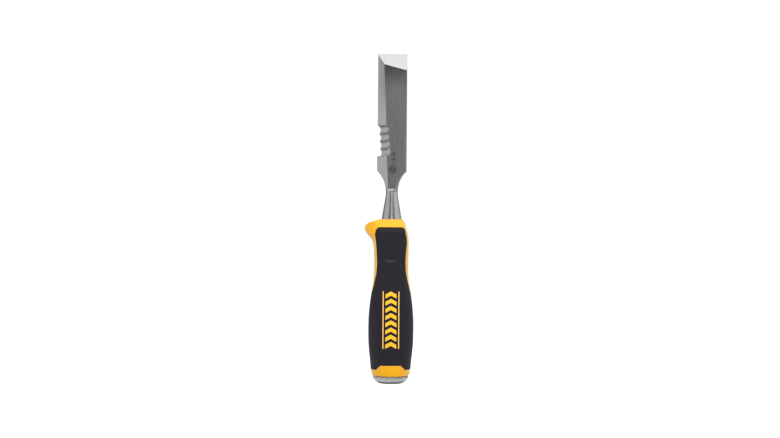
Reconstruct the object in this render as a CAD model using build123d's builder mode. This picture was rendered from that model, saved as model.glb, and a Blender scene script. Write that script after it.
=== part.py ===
from build123d import *
from math import acos, cos, radians, sin, sqrt, tan
import os

# Side-cutting bench chisel: a one-piece forging with a through tang, a handle moulded round it
# in two colours, and a steel strike cap.
# Millimetres. The origin is the centre of the strike face, +Z points along the tool to the cutting
# edge, the ground face looks to -Y, and the side-cutting edge and the hand guard are at -X.

# Lengths along the tool, from the strike face up
strike_cap_height = 6.4     # rim of the strike cap
cap_gap = 0.4               # open line between the cap's rim and the handle
handle_top = 142.7          # mouth of the handle, where the shank comes out
shank_length = 24.0         # from the mouth up to the neck, the forging's narrowest place
face_foot_rise = 2.4        # from the neck up to the foot of the ground face
lug_top_rise = 31.3         # from the neck up to the end of the unscalloped lug
overall_length = 287.0

# Blade
blade_width = 25.4
back_offset = 3.8           # flat back, behind the tool's axis
axis_thickness = 7.8        # thickness on the axis at the foot of the face
face_rise_across = 7.0      # degrees: the face is thicker towards the struck spine
face_fall_along = 1.43      # degrees: the face is thinner towards the tip
end_bevel_angle = 25.0
side_bevel_angle = 37.4
lug_land = 0.35             # the lug stands proud of the side edge by this
spine_chamfer_start = 5.55  # height above the back where the spine's chamfer begins
spine_chamfer_angle = 25.6  # degrees from the spine's side
foot_ramp_angle = 34.0      # degrees: run-out from the flats to the round shank

# Scalloped part of the side edge, counted from the lug upwards
scallop_count = 4
scallop_radius = 6.5
scallop_pitch = 6.6
scallop_first_rise = 2.8    # from the lug's end to the first scallop's centre
scallop_first_depth = 3.55  # measured across the blade, at the back
scallop_depth_step = 0.32   # each scallop is shallower than the one below
scallop_tilt = 41.5         # degrees from the flat back
scallop_climb = 4.0         # degrees: the scallops climb towards the face

# Shank and tang
neck_radius = 5.15
neck_flare_radius = 24.2    # arc from the neck out to the shoulders
neck_blend_radius = 32.0    # arc from the neck into the shank's taper
shank_taper = 9.2           # degrees, half angle
shank_root_radius = 8.75    # at the handle's mouth
shank_socket_depth = 22.0
tang_radius = 5.2
tang_flat_width = 8.0       # across the two flats that stop the tang turning
tang_spigot_radius = 4.0
tang_spigot_length = 6.5
tang_shoulder = 13.0        # height where the tang steps down to its spigot
spigot_end_gap = 0.5

# Handle
base_radius = 15.95
belly_height = 45.5
belly_half_width = 19.75
belly_half_depth = 16.6
waist_drop = 36.8           # from the mouth down to the waist
waist_half_width = 15.05
waist_half_depth = 13.2
crown_drop = 18.0           # from the mouth down to the widest place under it
crown_half_width = 15.25
crown_half_depth = 13.3
mouth_half_width = 9.9
mouth_half_depth = 10.2
mouth_edge_radius = 1.3     # the mouth's rim is drawn in by this
strip_half_width = 10.2     # the flatter strip down the front and the back
strip_crown = 0.35

# Hand guard, on the side-cutting side
guard_reach = 23.5
guard_nose_drop = 7.7       # from the mouth down to the guard's nose
guard_shoulder_drop = 2.7   # from the mouth down to where the top slope turns down to the nose
guard_shoulder_reach = 19.2

# Soft grips and their seats in the core
grip_thickness = 2.2
grip_groove = 0.45          # open line round each grip
grip_bed_gap = 0.1
side_spine_half_width = 1.5 # core left bare between the two grips
grip_top_drop = 7.3         # from the mouth down to the grip's upper edge
grip_corner_radius = 3.4
grip_side_margin = 3.25     # core left bare at each side of the waist, seen from the front
guard_side_bulge = 1.9      # the grip's upper corner swells towards the guard by this
grip_bottom = 12.8
tab_rise = 3.9              # the core's tab stands up into the grip's lower edge
tab_half_width_top = 8.85
tab_half_width_bottom = 12.65

# Raised core lands that show through the front grip
land_bottom = 31.0
land_height = 49.4
land_rail_offset = 6.75
land_rail_width = 1.25
chevron_count = 8
chevron_half_width = 4.8
chevron_thickness = 3.5
chevron_rise = 2.6
window_gap = 0.12

# Strike cap
cap_radius = 15.5
strike_face_radius = 9.4
cap_corner_inset = 3.4      # the rounded side stands this far in near the strike face
cap_corner_rise = 1.2
cap_side_inset = 1.15       # and this far in at cap_side_rise
cap_side_rise = 3.0
cap_boss_radius = 9.0
steel_fit = 0.02            # cap bore round the tang's spigot
moulding_gap = 0.05         # core round the steel

# Places that several pieces share
neck_height = handle_top + shank_length
face_foot = neck_height + face_foot_rise
lug_top = neck_height + lug_top_rise
socket_floor = handle_top - shank_socket_depth
handle_base = strike_cap_height + cap_gap
waist_height = handle_top - waist_drop
crown_height = handle_top - crown_drop
grip_top = handle_top - grip_top_drop
spine_side = blade_width / 2
edge_side = -blade_width / 2
spigot_end = tang_shoulder - tang_spigot_length
beyond = 5.0                # cutters run past the metal by this
wide = 40.0                 # more than half of any width

os.makedirs("parts", exist_ok=True)

# Blade, neck, shank and tang: one forging
blade_reach = overall_length - face_foot + beyond
waste_depth = 25.0
ramp_run = waste_depth / tan(radians(foot_ramp_angle))
across = Vector(1, -tan(radians(face_rise_across)), 0).normalized()
along = Vector(0, tan(radians(face_fall_along)), 1).normalized()
face_profile = Plane(
    origin=(0, back_offset - axis_thickness, face_foot), x_dir=along, z_dir=across
)
bar_radius = spine_side + beyond


def neck_arc(radius, turn):
    """A point on an arc that leaves the neck: up to the shoulders, or down for a negative turn."""
    angle = radians(turn)
    return neck_radius + radius * (1 - cos(angle)), neck_height + radius * sin(angle)


with BuildPart() as blade:
    # Round bar with the shank, the neck and the tang turned on it
    with BuildSketch(Plane.XZ):
        with BuildLine():
            shoulder = neck_arc(neck_flare_radius, 60)
            taper_end = neck_arc(neck_blend_radius, -shank_taper)
            Polyline(
                shoulder,
                (bar_radius, shoulder[1]),
                (bar_radius, overall_length),
                (0, overall_length),
                (0, spigot_end),
                (tang_spigot_radius, spigot_end),
                (tang_spigot_radius, tang_shoulder),
                (tang_radius, tang_shoulder),
                (tang_radius, socket_floor),
                (shank_root_radius, socket_floor),
                (shank_root_radius, handle_top),
                taper_end,
            )
            ThreePointArc(taper_end, neck_arc(neck_blend_radius, -shank_taper / 2), neck_arc(1, 0))
            ThreePointArc(neck_arc(1, 0), neck_arc(neck_flare_radius, 30), shoulder)
        make_face()
    revolve(axis=Axis.Z)

    # Ground face: tilted across the blade and along it, with a ramp down to the shank
    with BuildSketch(face_profile):
        with BuildLine():
            Polyline(
                (0, 0),
                (blade_reach, 0),
                (blade_reach, waste_depth),
                (-ramp_run, waste_depth),
                close=True,
            )
        make_face()
    extrude(amount=wide, both=True, mode=Mode.SUBTRACT)

    # Flat back, with the same ramp
    with BuildSketch(Plane.YZ):
        with BuildLine():
            Polyline(
                (back_offset, face_foot),
                (back_offset, face_foot + blade_reach),
                (back_offset + waste_depth, face_foot + blade_reach),
                (back_offset + waste_depth, face_foot - ramp_run),
                close=True,
            )
        make_face()
    extrude(amount=wide, both=True, mode=Mode.SUBTRACT)

    # Struck spine at +X, with its chamfer
    chamfer_start = back_offset - spine_chamfer_start
    chamfer_end = chamfer_start - axis_thickness
    chamfer_run = axis_thickness * tan(radians(spine_chamfer_angle))
    with BuildSketch(Plane.XY.offset(face_foot)):
        with BuildLine():
            Polyline(
                (spine_side, back_offset + beyond),
                (spine_side, chamfer_start),
                (spine_side - chamfer_run, chamfer_end),
                (wide, chamfer_end),
                (wide, back_offset + beyond),
                close=True,
            )
        make_face()
    extrude(amount=blade_reach, mode=Mode.SUBTRACT)

    # Side bevel at -X: sharp above the lug, and with a narrow land on the lug
    bevel_depth = 2 * axis_thickness
    bevel_run = bevel_depth / tan(radians(side_bevel_angle))
    for side, bottom, height in (
        (edge_side - lug_land, face_foot, lug_top - face_foot),
        (edge_side, lug_top, overall_length - lug_top),
    ):
        with BuildSketch(Plane.XY.offset(bottom)):
            with BuildLine():
                Polyline(
                    (side, back_offset + beyond),
                    (side, back_offset),
                    (side + bevel_run, back_offset - bevel_depth),
                    (-wide, back_offset - bevel_depth),
                    (-wide, back_offset + beyond),
                    close=True,
                )
            make_face()
        extrude(amount=height, mode=Mode.SUBTRACT)

    # End bevel, ground from the face to the edge
    with BuildSketch(Plane.YZ):
        with BuildLine():
            Polyline(
                (back_offset, overall_length),
                (
                    back_offset - waste_depth,
                    overall_length - waste_depth / tan(radians(end_bevel_angle)),
                ),
                (back_offset - waste_depth, overall_length + beyond),
                (back_offset, overall_length + beyond),
                close=True,
            )
        make_face()
    extrude(amount=wide, both=True, mode=Mode.SUBTRACT)

    # Scallops in the side bevel; the first one ends at the lug's wall
    scallop_axis = Vector(
        cos(radians(scallop_tilt)), -sin(radians(scallop_tilt)), tan(radians(scallop_climb))
    )
    outward = Vector(-sin(radians(scallop_tilt)), -cos(radians(scallop_tilt)), 0)
    for index in range(scallop_count):
        depth = scallop_first_depth - index * scallop_depth_step
        rise = scallop_first_rise + index * scallop_pitch
        deepest = Vector(edge_side + depth, back_offset, lug_top + rise)
        scallop_plane = Plane(
            origin=deepest + outward * scallop_radius,
            x_dir=outward.cross(scallop_axis),
            z_dir=scallop_axis,
        )
        with BuildSketch(scallop_plane):
            Circle(scallop_radius)
            with Locations((-rise, 0)):
                Rectangle(wide, wide, align=(Align.MIN, Align.CENTER), mode=Mode.INTERSECT)
        extrude(amount=wide, both=True, mode=Mode.SUBTRACT)

    # Flats on the tang
    with BuildSketch(Plane.XY.offset(tang_shoulder)):
        Rectangle(wide, wide)
        Rectangle(wide, tang_flat_width, mode=Mode.SUBTRACT)
    extrude(amount=socket_floor - tang_shoulder, mode=Mode.SUBTRACT)
blade.part.label = "blade"
export_step(blade.part, "parts/blade.step")

# Handle form: a loft through cross sections made of arcs.
# Each row is height, half width, reach on the guard's side, half depth, crown of the strip.
base_crown = base_radius - sqrt(base_radius**2 - strip_half_width**2)
belly_to_waist = waist_height - belly_height
grip_stations = (
    (handle_base, base_radius, base_radius, base_radius, base_crown),
    (handle_base + 3.4, belly_half_width - 2.7, belly_half_width - 2.7, belly_half_depth - 0.2, 3.2),
    (handle_base + 10.5, belly_half_width - 1.9, belly_half_width - 1.9, belly_half_depth - 0.3, 1.8),
    (belly_height - 16.0, belly_half_width - 0.6, belly_half_width - 0.6, belly_half_depth - 0.1, 0.6),
    (belly_height, belly_half_width, belly_half_width, belly_half_depth, strip_crown),
    (
        belly_height + belly_to_waist * 0.26,
        belly_half_width - 0.5,
        belly_half_width - 0.5,
        belly_half_depth - 0.4,
        strip_crown,
    ),
    (
        belly_height + belly_to_waist * 0.525,
        (belly_half_width + waist_half_width) / 2,
        (belly_half_width + waist_half_width) / 2,
        (belly_half_depth + waist_half_depth) / 2 + 0.2,
        strip_crown,
    ),
    (
        belly_height + belly_to_waist * 0.754,
        waist_half_width + 0.4,
        waist_half_width + 0.55,
        waist_half_depth + 0.6,
        strip_crown,
    ),
    (waist_height, waist_half_width, waist_half_width + 0.15, waist_half_depth, strip_crown),
    (crown_height - 9.5, crown_half_width, crown_half_width + 0.15, crown_half_depth, strip_crown),
    (crown_height - 4.5, crown_half_width, crown_half_width + 0.65, crown_half_depth, strip_crown),
    (crown_height, crown_half_width, crown_half_width + 2.05, crown_half_depth, strip_crown),
    (handle_top - 13.7, crown_half_width - 0.5, guard_reach - 2.9, crown_half_depth - 0.15, strip_crown),
    (handle_top - 9.2, crown_half_width - 1.55, guard_reach - 0.3, crown_half_depth - 0.6, 0.6),
    (handle_top - 4.2, mouth_half_width + 2.4, guard_reach, mouth_half_depth + 1.7, 1.2),
    (handle_top - mouth_edge_radius, mouth_half_width + 1.1, guard_reach, mouth_half_depth + 0.8, 2.4),
    (handle_top, mouth_half_width, guard_reach - mouth_edge_radius, mouth_half_depth, mouth_half_depth / 3),
)
side_angle = radians(6)     # half the arc that closes a section's side


def section_corner(reach, edge, strip):
    """The corner and side points of a section's arc, from the strip's edge out to reach."""
    strip_angle = acos(strip / reach)
    depth = edge / sin(strip_angle)
    corner_angle = (strip_angle + side_angle) / 2
    corner = (reach * cos(corner_angle), depth * sin(corner_angle))
    side = (reach * cos(side_angle), depth * sin(side_angle))
    return corner, side


def turned(point, x_sign, y_sign):
    """The point in another quarter of the section."""
    return point[0] * x_sign, point[1] * y_sign


def grip_section(height, half_width, reach, half_depth, crown, inset):
    """One cross section of the handle, with its flatter strip at the front and the back."""
    strip = min(strip_half_width, half_width - 1.2) - inset
    edge = half_depth - inset - crown
    right_corner, right_side = section_corner(half_width - inset, edge, strip)
    left_corner, left_side = section_corner(reach - inset, edge, strip)
    strip_edge = (strip, edge)
    with BuildSketch(Plane.XY.offset(height)) as section:
        with BuildLine():
            for y_sign in (1, -1):
                ThreePointArc(
                    turned(strip_edge, -1, y_sign),
                    (0, (edge + crown) * y_sign),
                    turned(strip_edge, 1, y_sign),
                )
                for x_sign, corner, side in ((1, right_corner, right_side), (-1, left_corner, left_side)):
                    ThreePointArc(
                        turned(strip_edge, x_sign, y_sign),
                        turned(corner, x_sign, y_sign),
                        turned(side, x_sign, y_sign),
                    )
            ThreePointArc(right_side, (half_width - inset, 0), turned(right_side, 1, -1))
            ThreePointArc(turned(left_side, -1, 1), (inset - reach, 0), turned(left_side, -1, -1))
        make_face()
    return section.sketch


def grip_body(inset):
    """The handle's outer form, moved inwards by inset."""
    mouth_corner = (inset - shank_root_radius - 2.0, handle_top - inset)
    shoulder = (inset - guard_shoulder_reach, handle_top - guard_shoulder_drop - inset)
    nose = (inset - guard_reach - 0.3, handle_top - guard_nose_drop)
    nose_middle = (inset - guard_reach + 1.4, handle_top - guard_nose_drop + 3.1 - inset)
    with BuildPart() as body:
        loft(sections=[grip_section(*station, inset) for station in grip_stations])
        # Slope over the top of the hand guard, turning down to its nose
        with BuildSketch(Plane.XZ):
            with BuildLine():
                Line(mouth_corner, shoulder)
                ThreePointArc(shoulder, nose_middle, nose)
                Polyline(
                    nose,
                    (-wide, nose[1]),
                    (-wide, handle_top + beyond),
                    (wide, handle_top + beyond),
                    (wide, mouth_corner[1]),
                    mouth_corner,
                )
            make_face()
        extrude(amount=wide, both=True, mode=Mode.SUBTRACT)
    return body.part


# Side of a soft grip, seen from the front: half width and height
grip_side = (
    (waist_half_width - grip_side_margin + 0.3, grip_top - 5.9),
    (waist_half_width - grip_side_margin + 1.2, grip_top - 11.9),
    (waist_half_width - grip_side_margin + 0.5, waist_height + 8.5),
    (waist_half_width - grip_side_margin + 0.1, waist_height + 0.5),
    (waist_half_width - grip_side_margin + 0.4, waist_height - 7.5),
    (waist_half_width - grip_side_margin + 1.6, waist_height - 15.0),
    ((waist_half_width - grip_side_margin + belly_half_width + 0.9) / 2, waist_height - 26.0),
    (belly_half_width - 0.4, waist_height - 36.0),
)


def grip_outline(growth):
    """The grip's outline on the XZ plane, grown outwards by growth."""
    top = grip_top + growth
    bottom = grip_bottom - growth
    reach = belly_half_width + beyond
    right_side = [(x + growth, z) for x, z in grip_side]
    left_side = [
        (-x - growth - (guard_side_bulge if index == 0 else 0), z)
        for index, (x, z) in enumerate(grip_side)
    ]
    slant = growth * tan(radians(22.5))
    tab_corner = (tab_half_width_top - slant, grip_bottom + tab_rise - growth)
    tab_foot = (tab_half_width_bottom - slant, bottom)
    with BuildSketch(Plane.XZ) as outline:
        with BuildLine():
            Polyline(
                left_side[0],
                (left_side[0][0] + 1.5, top),
                (right_side[0][0] - 1.0, top),
                right_side[0],
            )
            Spline(*right_side)
            Spline(*left_side)
            Polyline(
                right_side[-1],
                (reach, right_side[-1][1] - 9.0),
                (reach, bottom),
                tab_foot,
                tab_corner,
                (-tab_corner[0], tab_corner[1]),
                (-tab_foot[0], tab_foot[1]),
                (-reach, bottom),
                (-reach, left_side[-1][1] - 9.0),
                left_side[-1],
            )
        make_face()
        fillet(outline.vertices().group_by(Axis.Y)[-1], grip_corner_radius + growth)
    return outline.sketch


def land_pattern(growth):
    """Two rails and a column of chevrons, which stand up through the front grip."""
    pitch = (land_height - chevron_thickness - chevron_rise) / (chevron_count - 1)
    with BuildSketch(Plane.XZ) as pattern:
        with Locations((-land_rail_offset, land_bottom), (land_rail_offset, land_bottom)):
            Rectangle(land_rail_width, land_height, align=(Align.CENTER, Align.MIN))
        for index in range(chevron_count):
            base = land_bottom + index * pitch
            with BuildLine():
                Polyline(
                    (-chevron_half_width, base),
                    (0, base + chevron_rise),
                    (chevron_half_width, base),
                    (chevron_half_width, base + chevron_thickness),
                    (0, base + chevron_rise + chevron_thickness),
                    (-chevron_half_width, base + chevron_thickness),
                    close=True,
                )
            make_face()
        if growth:
            offset(amount=growth, kind=Kind.INTERSECTION)
    return pattern.sketch


grip_form = grip_body(0)
grip_bed = grip_body(grip_thickness)
grip_floor = grip_body(grip_thickness - grip_bed_gap)
keep_side = {-1: Keep.TOP, 1: Keep.BOTTOM}  # the half of a split in front, or behind


def grip_prism(side, outline_growth, land_growth, spine_growth):
    """A grip's outline carried forwards (side -1) or back (side 1) from the side spine."""
    spine_edge = Plane.XZ.offset(-side * (side_spine_half_width + spine_growth))
    with BuildPart() as prism:
        extrude(grip_outline(outline_growth), amount=wide, dir=(0, side, 0))
        split(bisect_by=spine_edge, keep=keep_side[side])
        if side < 0:
            extrude(land_pattern(land_growth), amount=wide, dir=(0, side, 0), mode=Mode.SUBTRACT)
    return prism.part


# Everything of the steel that lies in the handle, with the moulded fit round it
with BuildPart() as steel_cavity:
    with BuildSketch(Plane.XZ):
        with BuildLine():
            Polyline(
                (0, handle_base - 1),
                (cap_boss_radius + moulding_gap, handle_base - 1),
                (cap_boss_radius + moulding_gap, tang_shoulder),
                (tang_radius + moulding_gap, tang_shoulder),
                (tang_radius + moulding_gap, socket_floor - moulding_gap),
                (shank_root_radius + moulding_gap, socket_floor - moulding_gap),
                (shank_root_radius + moulding_gap, handle_top + 1),
                (0, handle_top + 1),
                close=True,
            )
        make_face()
    revolve(axis=Axis.Z)
    with BuildSketch(Plane.XY.offset(tang_shoulder)):
        Rectangle(wide, wide)
        Rectangle(wide, tang_flat_width + 2 * moulding_gap, mode=Mode.SUBTRACT)
    extrude(amount=socket_floor - moulding_gap - tang_shoulder, mode=Mode.SUBTRACT)


def grip_recess(side):
    """The seat cut in the core for a grip, with room for the groove round it."""
    with BuildPart() as recess:
        add(grip_prism(side, grip_groove, 0, 0))
        add(grip_bed, mode=Mode.SUBTRACT)
    return recess.part


with BuildPart() as handle_core:
    add(grip_form)
    add(steel_cavity.part, mode=Mode.SUBTRACT)
    add(grip_recess(-1), mode=Mode.SUBTRACT)
    add(grip_recess(1), mode=Mode.SUBTRACT)
handle_core.part.label = "handle_core"
export_step(handle_core.part, "parts/handle_core.step")

with BuildPart() as grip_front:
    add(grip_prism(-1, 0, window_gap, grip_groove))
    add(grip_form, mode=Mode.INTERSECT)
    add(grip_floor, mode=Mode.SUBTRACT)
grip_front.part.label = "grip_front"
export_step(grip_front.part, "parts/grip_front.step")

with BuildPart() as grip_back:
    add(grip_prism(1, 0, 0, grip_groove))
    add(grip_form, mode=Mode.INTERSECT)
    add(grip_floor, mode=Mode.SUBTRACT)
grip_back.part.label = "grip_back"
export_step(grip_back.part, "parts/grip_back.step")

with BuildPart() as strike_cap:
    # Disc with a rounded strike face, and a boss that fills the pocket in the core
    with BuildSketch(Plane.XZ):
        with BuildLine():
            Line((0, 0), (strike_face_radius, 0))
            Spline(
                (strike_face_radius, 0),
                (cap_radius - cap_corner_inset, cap_corner_rise),
                (cap_radius - cap_side_inset, cap_side_rise),
                (cap_radius, strike_cap_height),
                tangents=((1, 0.25), (0.05, 1)),
            )
            Polyline(
                (cap_radius, strike_cap_height),
                (cap_boss_radius, strike_cap_height),
                (cap_boss_radius, tang_shoulder),
                (0, tang_shoulder),
                (0, 0),
            )
        make_face()
    revolve(axis=Axis.Z)
    # Blind bore for the tang's spigot
    with BuildSketch(Plane.XY.offset(tang_shoulder)):
        Circle(tang_spigot_radius + steel_fit)
    extrude(amount=-(tang_spigot_length + spigot_end_gap), mode=Mode.SUBTRACT)
strike_cap.part.label = "strike_cap"
export_step(strike_cap.part, "parts/strike_cap.step")
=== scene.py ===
import bpy
from math import cos, pi, radians, sin
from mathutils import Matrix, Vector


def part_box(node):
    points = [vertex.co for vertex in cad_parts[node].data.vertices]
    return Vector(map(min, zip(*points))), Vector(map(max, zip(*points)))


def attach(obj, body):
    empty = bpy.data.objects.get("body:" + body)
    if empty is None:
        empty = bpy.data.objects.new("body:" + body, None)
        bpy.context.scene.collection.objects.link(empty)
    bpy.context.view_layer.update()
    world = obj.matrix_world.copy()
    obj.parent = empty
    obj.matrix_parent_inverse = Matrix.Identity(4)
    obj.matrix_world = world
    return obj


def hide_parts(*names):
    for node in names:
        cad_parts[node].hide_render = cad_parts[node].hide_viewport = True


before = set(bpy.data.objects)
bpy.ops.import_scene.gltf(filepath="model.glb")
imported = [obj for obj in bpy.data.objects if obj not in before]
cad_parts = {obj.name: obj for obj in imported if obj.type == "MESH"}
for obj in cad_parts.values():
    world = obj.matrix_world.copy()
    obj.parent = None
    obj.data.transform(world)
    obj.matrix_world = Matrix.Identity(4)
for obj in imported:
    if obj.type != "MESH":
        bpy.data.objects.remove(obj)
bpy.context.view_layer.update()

# The studio: a white sweep that only the lens sees, and a dull floor and grey walls that the steel
# mirrors, lit by two tall softboxes, a slot of light in front, a top box and banks behind.
floor_radius = 0.9
bpy.ops.object.select_all(action="DESELECT")
bpy.ops.mesh.primitive_circle_add(
    vertices=96, radius=floor_radius, fill_type="NGON", location=(0, 0, 0)
)
floor = bpy.context.object
floor.name = "floor"


def put(tree, kind, inputs=None, **settings):
    """A new shader node with its settings, and with each input linked or set."""
    node = tree.nodes.new("ShaderNode" + kind)
    for name, value in settings.items():
        setattr(node, name, value)
    for key, value in (inputs or {}).items():
        if isinstance(value, bpy.types.NodeSocket):
            tree.links.new(value, node.inputs[key])
        else:
            node.inputs[key].default_value = value
    return node


white = (1, 1, 1, 1)
fade_start, fade_end = 0.3, 0.75
floor_glow, floor_grey, mirrored_floor_grey = 0.84, (0.55, 0.55, 0.55, 1), (0.7, 0.7, 0.7, 1)
floor_paint = bpy.data.materials.new("floor_paint")
floor_paint.use_nodes = True
paint = floor_paint.node_tree
paint.nodes.clear()
where = put(paint, "TexCoord")
from_middle = put(paint, "VectorMath", {0: where.outputs["Object"]}, operation="LENGTH")
fade = put(
    paint, "MapRange", {0: from_middle.outputs["Value"], 1: fade_start, 2: fade_end, 3: 0.0, 4: 1.0}
)
glow = put(paint, "Emission", {"Color": white, "Strength": floor_glow})
matt = put(paint, "BsdfDiffuse", {"Color": floor_grey})
lit = put(paint, "AddShader", {0: glow.outputs[0], 1: matt.outputs[0]})
clear = put(paint, "BsdfTransparent")
sweep = put(paint, "MixShader", {0: fade.outputs[0], 1: lit.outputs[0], 2: clear.outputs[0]})
dull = put(paint, "BsdfDiffuse", {"Color": mirrored_floor_grey})
ray = put(paint, "LightPath")
both = put(
    paint, "MixShader", {0: ray.outputs["Is Camera Ray"], 1: dull.outputs[0], 2: sweep.outputs[0]}
)
put(paint, "OutputMaterial", {"Surface": both.outputs[0]})
floor.data.materials.append(floor_paint)

backdrop_strength, wall_strength = 1.05, 0.22
world = bpy.data.worlds.new("studio")
bpy.context.scene.world = world
world.use_nodes = True
sky = world.node_tree
sky.nodes.clear()
seen = put(sky, "Background", {"Color": white, "Strength": backdrop_strength})
walls = put(sky, "Background", {"Color": white, "Strength": wall_strength})
ray = put(sky, "LightPath")
both = put(
    sky, "MixShader", {0: ray.outputs["Is Camera Ray"], 1: walls.outputs[0], 2: seen.outputs[0]}
)
put(sky, "OutputWorld", {"Surface": both.outputs[0]})
bpy.context.scene.view_settings.view_transform = "Standard"


def softbox(name, azimuth, elevation, distance, width, height, radiance, mirrored=True):
    """A flat studio light, aimed at the tool. Azimuth 0 is in front of the ground face."""
    aim_height = 0.16
    area = bpy.data.lights.new(name, "AREA")
    area.shape = "RECTANGLE"
    area.size = width
    area.size_y = height
    area.energy = radiance * pi * width * height
    lamp = bpy.data.objects.new(name, area)
    bpy.context.scene.collection.objects.link(lamp)
    turn, rise = radians(azimuth), radians(elevation)
    lamp.location = (
        distance * sin(turn) * cos(rise),
        -distance * cos(turn) * cos(rise),
        aim_height + distance * sin(rise),
    )
    lamp.rotation_euler = (pi / 2 - rise, 0, turn)
    lamp.visible_camera = False
    lamp.visible_glossy = mirrored


# Name, azimuth and elevation in degrees, distance, width, height and radiance
softbox("left_box", -76, 3, 0.9, 1.3, 1.3, 0.52)
softbox("right_box", 76, 3, 0.9, 1.3, 1.3, 0.66)
softbox("right_edge_box", 130, 3, 0.9, 0.4, 1.3, 0.33)
softbox("top_box", 0, 52, 1.0, 1.1, 0.45, 1.85)
softbox("front_slot", 0, 0, 1.7, 0.36, 1.3, 1.5)
softbox("front_wash", 0, 25, 1.3, 1.2, 0.8, 4.3, mirrored=False)
softbox("overhead", 0, 88, 1.4, 1.5, 1.5, 0.8)
softbox("rear_bank", 180, 42, 1.3, 1.6, 0.7, 0.8)
softbox("rear_wash", 180, 15, 1.3, 1.2, 0.8, 3.0, mirrored=False)

# Camera: level with the middle of the tool, rolled a hair, so that the tool leans to the right
camera = bpy.data.cameras.new("camera")
camera.lens = 70
camera.sensor_width = 36
camera_object = bpy.data.objects.new("camera", camera)
bpy.context.scene.collection.objects.link(camera_object)
camera_object.location = (-0.0014, -1.3232, 0.14295)
camera_roll = -0.41
camera_object.rotation_euler = (pi / 2, radians(camera_roll), 0)
bpy.context.scene.camera = camera_object


# Blade: one drop forging of tool steel with the neck, the shank and the tang. The flats are
# surface ground lengthwise, the bevels crosswise, the shank is turned, and the mark is etched.
def finished_copy(node, name):
    """A copy of a solid's mesh as a new piece, with its loose triangles joined up."""
    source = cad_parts[node]
    piece = bpy.data.objects.new(name, source.data.copy())
    bpy.context.scene.collection.objects.link(piece)
    bpy.ops.object.select_all(action="DESELECT")
    piece.select_set(True)
    bpy.context.view_layer.objects.active = piece
    bpy.ops.mesh.customdata_custom_splitnormals_clear()
    bpy.ops.object.mode_set(mode="EDIT")
    bpy.ops.mesh.select_all(action="SELECT")
    bpy.ops.mesh.remove_doubles(threshold=2e-6)
    bpy.ops.object.mode_set(mode="OBJECT")
    piece.data.materials.clear()
    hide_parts(node)
    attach(piece, "root")
    return piece


def smooth(piece, angle):
    """Shades a piece smooth, but for its edges sharper than angle, and evens its normals."""
    bpy.ops.object.select_all(action="DESELECT")
    piece.select_set(True)
    bpy.context.view_layer.objects.active = piece
    bpy.ops.object.shade_smooth_by_angle(angle=radians(angle))
    even = piece.modifiers.new("even_normals", "WEIGHTED_NORMAL")
    even.keep_sharp = True
    bpy.ops.object.modifier_apply(modifier=even.name)


def new_group(name, inputs, outputs):
    """An empty shader node group with its sockets, and its two end nodes."""
    group = bpy.data.node_groups.new(name, "ShaderNodeTree")
    kinds = {"value": "NodeSocketFloat", "vector": "NodeSocketVector"}
    for title, kind in inputs:
        group.interface.new_socket(title, in_out="INPUT", socket_type=kinds[kind])
    for title, kind in outputs:
        group.interface.new_socket(title, in_out="OUTPUT", socket_type=kinds[kind])
    start = group.nodes.new("NodeGroupInput")
    end = group.nodes.new("NodeGroupOutput")
    return group, start.outputs, end.inputs


# Grain: streaks or specks from stretched coordinates, as a fine value and a broad one
grain, given, result = new_group(
    "grain", [("Coordinates", "vector")], [("Fine", "value"), ("Broad", "value")]
)
fine = put(grain, "TexNoise", {"Vector": given[0], "Scale": 1.0, "Detail": 4.0, "Roughness": 0.65})
broad = put(grain, "TexNoise", {"Vector": given[0], "Scale": 0.13, "Detail": 2.0, "Roughness": 0.5})
stretch = put(grain, "MapRange", {0: fine.outputs[0], 1: 0.28, 2: 0.72, 3: 0.0, 4: 1.0})
spread = put(grain, "MapRange", {0: broad.outputs[0], 1: 0.35, 2: 0.68, 3: 0.0, 4: 1.0})
grain.links.new(stretch.outputs[0], result[0])
grain.links.new(spread.outputs[0], result[1])

# Soft edge: the normal rounded over an edge, a mask of the edge, and a worn, broken mask of it
soft_edge, given, result = new_group(
    "soft_edge",
    [("Position", "vector"), ("Radius", "value"), ("Speckle", "value")],
    [("Normal", "vector"), ("Edge", "value"), ("Wear", "value")],
)
rounded = put(soft_edge, "Bevel", {"Radius": given[1]}, samples=6)
flat = put(soft_edge, "NewGeometry")
agree = put(
    soft_edge,
    "VectorMath",
    {0: rounded.outputs[0], 1: flat.outputs["True Normal"]},
    operation="DOT_PRODUCT",
)
edge = put(soft_edge, "MapRange", {0: agree.outputs["Value"], 1: 0.995, 2: 0.8, 3: 0.0, 4: 1.0})
chips = put(soft_edge, "TexNoise", {"Vector": given[0], "Scale": given[2], "Detail": 3.0})
broken = put(soft_edge, "MapRange", {0: chips.outputs[0], 1: 0.4, 2: 0.62, 3: 0.0, 4: 1.0})
wear = put(soft_edge, "Math", {0: edge.outputs[0], 1: broken.outputs[0]}, operation="MULTIPLY")
soft_edge.links.new(rounded.outputs[0], result[0])
soft_edge.links.new(edge.outputs[0], result[1])
soft_edge.links.new(wear.outputs[0], result[2])


def use(tree, group, inputs):
    """The outputs of a new node that places a shader node group in a material."""
    node = tree.nodes.new("ShaderNodeGroup")
    node.node_tree = group
    for key, value in inputs.items():
        if isinstance(value, bpy.types.NodeSocket):
            tree.links.new(value, node.inputs[key])
        else:
            node.inputs[key].default_value = value
    return node.outputs


def grain_at(tree, place, scale):
    """The grain group on coordinates stretched by scale, in marks to the metre on each axis."""
    stretched = put(tree, "Mapping", {"Vector": place, "Scale": scale})
    return use(tree, grain, {"Coordinates": stretched.outputs[0]})


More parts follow.
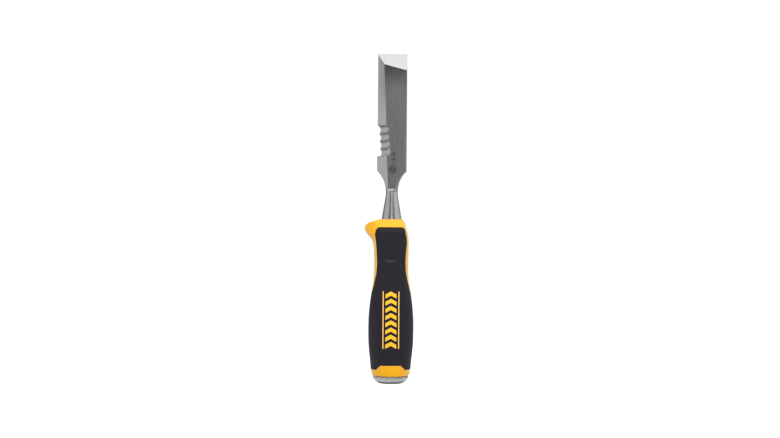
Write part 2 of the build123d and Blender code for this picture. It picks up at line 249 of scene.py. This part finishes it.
def finish_of(name, metallic):
    """A new material: its tree, its shader and its object coordinates, whole and split."""
    material = bpy.data.materials.new(name)
    material.use_nodes = True
    tree = material.node_tree
    shader = tree.nodes["Principled BSDF"]
    shader.inputs["Metallic"].default_value = metallic
    place = put(tree, "TexCoord").outputs["Object"]
    split = put(tree, "SeparateXYZ", {0: place})
    return material, tree, shader, place, split.outputs


def facing_of(tree):
    """The parts of the surface's own direction along the three axes."""
    direction = put(tree, "NewGeometry").outputs["True Normal"]
    return put(tree, "SeparateXYZ", {0: direction}).outputs


def sums(tree, operation, first, second=0.0, third=0.0):
    """The result of one Math node."""
    return put(tree, "Math", {0: first, 1: second, 2: third}, operation=operation).outputs[0]


def times(tree, first, *others):
    """The product of values or masks."""
    for other in others:
        first = sums(tree, "MULTIPLY", first, other)
    return first


def ramp(tree, value, low, high, start=0.0, end=1.0):
    """A value mapped from the range low to high onto start to end, and held beyond."""
    return put(tree, "MapRange", {0: value, 1: low, 2: high, 3: start, 4: end}).outputs[0]


def blend(tree, factor, first, second):
    """Two colours mixed."""
    return put(tree, "MixRGB", {0: factor, 1: first, 2: second}).outputs[0]


def relief(tree, shader, height, depth, strength, rounded_normal):
    """A bump over the rounded edges, as the shader's normal."""
    bump = put(
        tree,
        "Bump",
        {"Strength": strength, "Distance": depth, "Height": height, "Normal": rounded_normal},
    )
    tree.links.new(bump.outputs[0], shader.inputs["Normal"])


blade = finished_copy("blade", "blade_steel")
smooth(blade, 20)
neck_height = 0.1667
tip_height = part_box("blade")[1].z

dark_steel, light_steel = (0.475, 0.47, 0.48, 1), (0.535, 0.53, 0.54, 1)
face_reflection_steel, warm_steel = (0.22, 0.213, 0.22, 1), (0.34, 0.305, 0.30, 1)
under_bevel_shade_steel, bevel_shade_steel = (0.08, 0.075, 0.08, 1), (0.20, 0.20, 0.21, 1)
right_shade_steel, scallop_shade_steel = (0.27, 0.267, 0.27, 1), (0.13, 0.125, 0.13, 1)
shank_reflection_steel, worn_steel = (0.88, 0.87, 0.91, 1), (0.75, 0.75, 0.76, 1)
etched_black = (0.035, 0.034, 0.035, 1)

steel, tree, shader, place, axes = finish_of("ground_steel", 1.0)
facing = facing_of(tree)
on_face = sums(tree, "LESS_THAN", facing["Y"], -0.97)
on_end = sums(tree, "GREATER_THAN", facing["Z"], 0.3)
on_left = sums(tree, "LESS_THAN", facing["X"], -0.25)
on_right = sums(tree, "GREATER_THAN", facing["X"], 0.25)
on_front = sums(tree, "LESS_THAN", facing["Y"], -0.5)
above_neck = sums(tree, "GREATER_THAN", axes["Z"], neck_height)
below_neck = sums(tree, "LESS_THAN", axes["Z"], neck_height)
on_shank = sums(tree, "LESS_THAN", axes["Z"], neck_height + 0.004)
long_grain = grain_at(tree, place, (1900, 900, 26))
cross_grain = grain_at(tree, place, (240, 700, 3000))
edges = use(tree, soft_edge, {"Position": place, "Radius": 0.00022, "Speckle": 900.0})
crosswise = sums(tree, "MAXIMUM", on_end, on_shank)
lines = put(tree, "Mix", {0: crosswise, 2: long_grain["Fine"], 3: cross_grain["Fine"]}).outputs[0]
tone = blend(tree, lines, dark_steel, light_steel)

# The flat face is painted darker, most of all towards the neck, as a painted reflection, with warm
# streaks, and a painted shade darkens the zone under the end bevel
face_reflection = ramp(tree, axes["Z"], neck_height, tip_height - 0.045, 0.72, 0.52)
tone = blend(tree, times(tree, on_face, face_reflection), tone, face_reflection_steel)
tone = blend(tree, times(tree, long_grain["Broad"], on_face, 0.5), tone, warm_steel)
# Painted shade darkens the zone under the end bevel
under_bevel = ramp(tree, axes["Z"], tip_height - 0.030, tip_height - 0.012, 0.0, 0.72)
tone = blend(tree, times(tree, under_bevel, on_face), tone, under_bevel_shade_steel)

# The side bevel is painted darker towards the tip and the face, and the right side darker all
# along, as painted reflection
near_tip = ramp(tree, axes["Z"], tip_height - 0.052, tip_height - 0.028, 0.0, 0.42)
near_face = ramp(tree, axes["X"], -0.0125, -0.0075, 0.5, 1.0)
tone = blend(tree, times(tree, near_tip, near_face, on_left), tone, bevel_shade_steel)
tone = blend(tree, times(tree, on_right, above_neck, 0.85), tone, right_shade_steel)

# Painted shade darkens each scallop's upper wall, where it faces down
scallop_middle, scallop_half_row, scallop_reach = 0.214, 0.018, -0.0035
undercut = ramp(tree, facing["Z"], -0.12, -0.42, 0.0, 0.85)
in_row = sums(tree, "COMPARE", axes["Z"], scallop_middle, scallop_half_row)
by_edge = sums(tree, "LESS_THAN", axes["X"], scallop_reach)
tone = blend(tree, times(tree, undercut, in_row, by_edge), tone, scallop_shade_steel)

# A narrow painted reflection, a brighter line, runs down the front of the round shank
line_x, line_core, line_edge = 0.0003, 0.0004, 0.0017
off_line = sums(tree, "ABSOLUTE", sums(tree, "SUBTRACT", axes["X"], line_x))
shank_reflection = ramp(tree, off_line, line_core, line_edge, 1.0, 0.0)
shank_reflection = times(tree, shank_reflection, below_neck, on_front, 0.48)
tone = blend(tree, shank_reflection, tone, shank_reflection_steel)
tone = blend(tree, times(tree, edges["Wear"], 0.5), tone, worn_steel)

# Etched mark near the foot of the face: two rings, and a short scale of plain graduations above
mark_x, ring_z, scale_low, scale_high = 0.0006, 0.186, 0.1906, 0.2015
outer_ring_radius, outer_ring_half_line = 0.0027, 0.00045
inner_ring_radius, inner_ring_half_line = 0.0011, 0.0004
tick_gap, tick_half_line, long_tick_gap, long_tick_half_line = 0.00105, 0.0004, 0.0021, 0.0005
short_tick_reach, long_tick_reach, tick_shift = 0.0011, 0.0017, 0.0007
off_x = sums(tree, "SUBTRACT", axes["X"], mark_x)
off_z = sums(tree, "SUBTRACT", axes["Z"], ring_z)
off_centre = sums(
    tree, "SQRT", sums(tree, "ADD", times(tree, off_x, off_x), times(tree, off_z, off_z))
)
outer_ring = sums(tree, "COMPARE", off_centre, outer_ring_radius, outer_ring_half_line)
inner_ring = sums(tree, "COMPARE", off_centre, inner_ring_radius, inner_ring_half_line)
up_scale = sums(tree, "SUBTRACT", axes["Z"], scale_low)
from_tick = sums(tree, "PINGPONG", up_scale, tick_gap)
from_long_tick = sums(tree, "PINGPONG", up_scale, long_tick_gap)
tick = sums(tree, "LESS_THAN", from_tick, tick_half_line)
long_tick = sums(tree, "LESS_THAN", from_long_tick, long_tick_half_line)
reach = ramp(tree, long_tick, 0.0, 1.0, short_tick_reach, long_tick_reach)
across = sums(tree, "COMPARE", axes["X"], mark_x + tick_shift, reach)
scale_middle, scale_half = (scale_low + scale_high) / 2, (scale_high - scale_low) / 2
along = sums(tree, "COMPARE", axes["Z"], scale_middle, scale_half)
both_rings = sums(tree, "MAXIMUM", outer_ring, inner_ring)
marks = sums(tree, "MAXIMUM", both_rings, times(tree, tick, across, along))
etched = times(tree, marks, on_face)
patchy = times(tree, etched, ramp(tree, cross_grain["Fine"], 0.0, 1.0, 0.8, 1.0))
tree.links.new(blend(tree, patchy, tone, etched_black), shader.inputs["Base Color"])

roughness = ramp(tree, lines, 0.0, 1.0, 0.24, 0.36)
roughness = sums(tree, "ADD", roughness, times(tree, on_end, 0.08))
roughness = sums(tree, "ADD", roughness, times(tree, etched, 0.3))
tree.links.new(roughness, shader.inputs["Roughness"])
height = sums(tree, "SUBTRACT", lines, times(tree, etched, 2.0))
relief(tree, shader, height, 0.00002, 0.25, edges["Normal"])
blade.data.materials.append(steel)


# Handle core: hard yellow moulding over the tang, with the hand guard, the collar at the mouth
# and the raised lands. Its skin is spark eroded, and its side walls are painted paler as a sheen.
core = finished_copy("handle_core", "core_moulding")
smooth(core, 28)
deep_yellow, light_yellow = (0.74, 0.345, 0.002, 1), (0.78, 0.375, 0.004, 1)
collar_highlight_yellow, edge_highlight_yellow = (0.86, 0.45, 0.022, 1), (0.9, 0.55, 0.08, 1)
chevron_lemon, rail_cream = (0.86, 0.47, 0.012, 1), (0.88, 0.58, 0.17, 1)
rail_shadow, wall_sheen_yellow = (0.30, 0.13, 0.004, 1), (0.9, 0.60, 0.17, 1)
groove_shade = (0.018, 0.011, 0.006, 1)

moulding, tree, shader, place, axes = finish_of("yellow_moulding", 0.0)
shader.inputs["Coat Weight"].default_value = 0.12
shader.inputs["Coat Roughness"].default_value = 0.3
shader.inputs["Specular IOR Level"].default_value = 0.28
shader.inputs["Sheen Weight"].default_value = 0.9
shader.inputs["Sheen Roughness"].default_value = 0.3
speckle = grain_at(tree, place, (2600, 2600, 2600))
cloud = grain_at(tree, place, (420, 420, 300))
edges = use(tree, soft_edge, {"Position": place, "Radius": 0.0006, "Speckle": 700.0})
tone = blend(tree, cloud["Broad"], deep_yellow, light_yellow)

# The collar is painted lighter as a highlight, but for the guard, and the rounded edges carry a
# painted highlight
up_collar = ramp(tree, axes["Z"], 0.118, 0.137)
off_guard = ramp(tree, axes["X"], -0.017, -0.010, 0.1, 0.8)
tone = blend(tree, times(tree, up_collar, off_guard), tone, collar_highlight_yellow)
tone = blend(tree, times(tree, edges["Edge"], 0.3), tone, edge_highlight_yellow)

# The raised lands on the front are printed over: lemon on the chevrons, cream down the two rails
land_middle, land_half_height, rail_x = 0.0557, 0.0262, 0.00675
chevron_half_width, rail_half_width, cream_half_width = 0.0055, 0.0012, 0.00036
facing = facing_of(tree)
on_front = sums(tree, "LESS_THAN", facing["Y"], -0.8)
printed = times(tree, on_front, sums(tree, "COMPARE", axes["Z"], land_middle, land_half_height))
off_middle = sums(tree, "ABSOLUTE", axes["X"])
on_chevrons = sums(tree, "LESS_THAN", off_middle, chevron_half_width)
on_rails = sums(tree, "COMPARE", off_middle, rail_x, rail_half_width)
on_cream = sums(tree, "COMPARE", off_middle, rail_x, cream_half_width)
tone = blend(tree, times(tree, printed, on_chevrons), tone, chevron_lemon)
tone = blend(tree, times(tree, printed, on_rails), tone, rail_shadow)
tone = blend(tree, times(tree, printed, on_cream), tone, rail_cream)

# The side walls are painted paler as a sheen, and painted shade darkens the narrow grooves and the
# joint over the cap
wall_sheen = ramp(tree, sums(tree, "ABSOLUTE", facing["X"]), 0.6, 0.95, 0.0, 0.45)
tone = blend(tree, wall_sheen, tone, wall_sheen_yellow)
# Painted shade from occlusion darkens the narrow grooves and the joint over the cap
groove = put(tree, "AmbientOcclusion", {"Distance": 0.0016}, samples=8).outputs["AO"]
tone = blend(tree, ramp(tree, groove, 0.45, 0.86, 0.95, 0.0), tone, groove_shade)
tree.links.new(tone, shader.inputs["Base Color"])
tree.links.new(ramp(tree, speckle["Fine"], 0.0, 1.0, 0.36, 0.48), shader.inputs["Roughness"])
relief(tree, shader, speckle["Fine"], 0.00003, 0.3, edges["Normal"])
core.data.materials.append(moulding)


# Soft grips: two black rubber-like panels moulded onto the core, front and back, with a shallow
# thumb dish in the front one. Their skin is matt and very finely pebbled, with a little dust.
def cut_with(piece, cutter):
    """Cuts the cutter's volume out of the piece, and throws the cutter away."""
    bpy.ops.object.select_all(action="DESELECT")
    bpy.context.view_layer.objects.active = piece
    piece.select_set(True)
    scoop = piece.modifiers.new("scoop", "BOOLEAN")
    scoop.operation = "DIFFERENCE"
    scoop.solver = "EXACT"
    scoop.object = cutter
    bpy.ops.object.modifier_apply(modifier=scoop.name)
    bpy.data.objects.remove(cutter)


front = finished_copy("grip_front", "front_grip")
dish_middle, dish_radii, dish_lean = (-0.0008, -0.0158, 0.1185), (0.0088, 0.0030, 0.0135), 8
bpy.ops.object.select_all(action="DESELECT")
bpy.ops.mesh.primitive_uv_sphere_add(segments=96, ring_count=72, radius=1, location=dish_middle)
dish = bpy.context.object
bpy.ops.transform.resize(value=dish_radii)
dish.rotation_euler = (radians(dish_lean), 0, 0)
bpy.ops.object.transform_apply(location=True, rotation=True, scale=True)
cut_with(front, dish)
smooth(front, 28)

back = finished_copy("grip_back", "back_grip")
smooth(back, 28)

deep_black, soft_black = (0.0095, 0.0078, 0.0135, 1), (0.0125, 0.0105, 0.0175, 1)
dusty_black, rim_shade_black = (0.016, 0.0145, 0.0195, 1), (0.0022, 0.0016, 0.0014, 1)
worn_black, lip_highlight_black = (0.036, 0.033, 0.036, 1), (0.027, 0.0255, 0.034, 1)
top_band_highlight_black = (0.026, 0.021, 0.027, 1)

rubber, tree, shader, place, axes = finish_of("black_rubber", 0.0)
shader.inputs["Specular IOR Level"].default_value = 0.22
pebble = grain_at(tree, place, (3000, 3000, 3000))
hand = grain_at(tree, place, (900, 900, 500))
edges = use(tree, soft_edge, {"Position": place, "Radius": 0.0010, "Speckle": 500.0})
tone = blend(tree, pebble["Fine"], deep_black, soft_black)
tone = blend(tree, times(tree, hand["Broad"], 0.35), tone, dusty_black)
# Painted shade darkens the grips' rims, where they meet the core
tone = blend(tree, times(tree, edges["Edge"], 0.92), tone, rim_shade_black)
tone = blend(tree, times(tree, edges["Wear"], 0.12), tone, worn_black)

# The lower lip of the thumb dish carries a painted highlight, a paler crescent bent up at its ends
lip_x, lip_z, lip_half_width, lip_half_height, lip_bend = -0.0008, 0.1063, 0.0062, 0.0017, 38.0
off_x = sums(tree, "SUBTRACT", axes["X"], lip_x)
bent = times(tree, off_x, off_x, lip_bend)
off_z = sums(tree, "SUBTRACT", sums(tree, "SUBTRACT", axes["Z"], lip_z), bent)
part_wide = sums(tree, "DIVIDE", sums(tree, "ABSOLUTE", off_x), lip_half_width)
part_high = sums(tree, "DIVIDE", sums(tree, "ABSOLUTE", off_z), lip_half_height)
wide, high = sums(tree, "POWER", part_wide, 2.0), sums(tree, "POWER", part_high, 2.0)
crescent = ramp(tree, sums(tree, "ADD", wide, high), 1.0, 0.3)
on_front = sums(tree, "LESS_THAN", facing_of(tree)["Y"], -0.5)
tone = blend(tree, times(tree, crescent, on_front, 0.9), tone, lip_highlight_black)

# A painted highlight lies in a band along the upper rim
band_foot, band_full = 0.1315, 0.1325
tone = blend(tree, times(tree, ramp(tree, axes["Z"], band_foot, band_full), 0.5), tone, top_band_highlight_black)
tree.links.new(tone, shader.inputs["Base Color"])
tree.links.new(ramp(tree, pebble["Fine"], 0.0, 1.0, 0.46, 0.6), shader.inputs["Roughness"])
relief(tree, shader, pebble["Fine"], 0.00004, 0.35, edges["Normal"])
for grip in (front, back):
    grip.data.materials.append(rubber)


# Strike cap: a turned and case-hardened steel disc pressed on the end of the tang. Fine turning
# rings, scuffs from the mallet, painted shade in a band round the bottom rim, and painted shade
# with dark flecks in the joint under the handle.
cap = finished_copy("strike_cap", "cap_forging")
smooth(cap, 24)
cap_top = 0.0064
ring_dark, ring_light = (0.70, 0.73, 0.71, 1), (0.80, 0.83, 0.80, 1)
scuffed_steel, joint_shade = (0.52, 0.54, 0.52, 1), (0.05, 0.048, 0.042, 1)
rim_shade_steel, rim_start, rim_end = (0.15, 0.15, 0.14, 1), 0.0010, 0.0022

turned, tree, shader, place, axes = finish_of("cap_steel", 1.0)
flattened = put(tree, "VectorMath", {0: place, 1: (1, 1, 0)}, operation="MULTIPLY").outputs[0]
radius = put(tree, "VectorMath", {0: flattened}, operation="LENGTH").outputs["Value"]
ring_place = put(tree, "CombineXYZ", {0: radius, 2: axes["Z"]}).outputs[0]
rings = grain_at(tree, ring_place, (4200, 1, 4200))
scuffs = grain_at(tree, place, (700, 700, 1600))
edges = use(tree, soft_edge, {"Position": place, "Radius": 0.0004, "Speckle": 800.0})
tone = blend(tree, rings["Fine"], ring_dark, ring_light)
tone = blend(tree, times(tree, scuffs["Broad"], 0.35), tone, scuffed_steel)
# Painted shade, with flecks, in the joint under the handle
joint = ramp(tree, axes["Z"], cap_top - 0.0026, cap_top - 0.0006)
flecks = times(tree, joint, ramp(tree, scuffs["Fine"], 0.4, 0.62, 0.1, 1.0))
tone = blend(tree, flecks, tone, joint_shade)
# Painted shade in a band round the bottom rim
tone = blend(tree, ramp(tree, axes["Z"], rim_start, rim_end, 0.88, 0.0), tone, rim_shade_steel)
tree.links.new(tone, shader.inputs["Base Color"])
tree.links.new(ramp(tree, scuffs["Fine"], 0.0, 1.0, 0.26, 0.4), shader.inputs["Roughness"])
relief(tree, shader, rings["Fine"], 0.00002, 0.25, edges["Normal"])
cap.data.materials.append(turned)
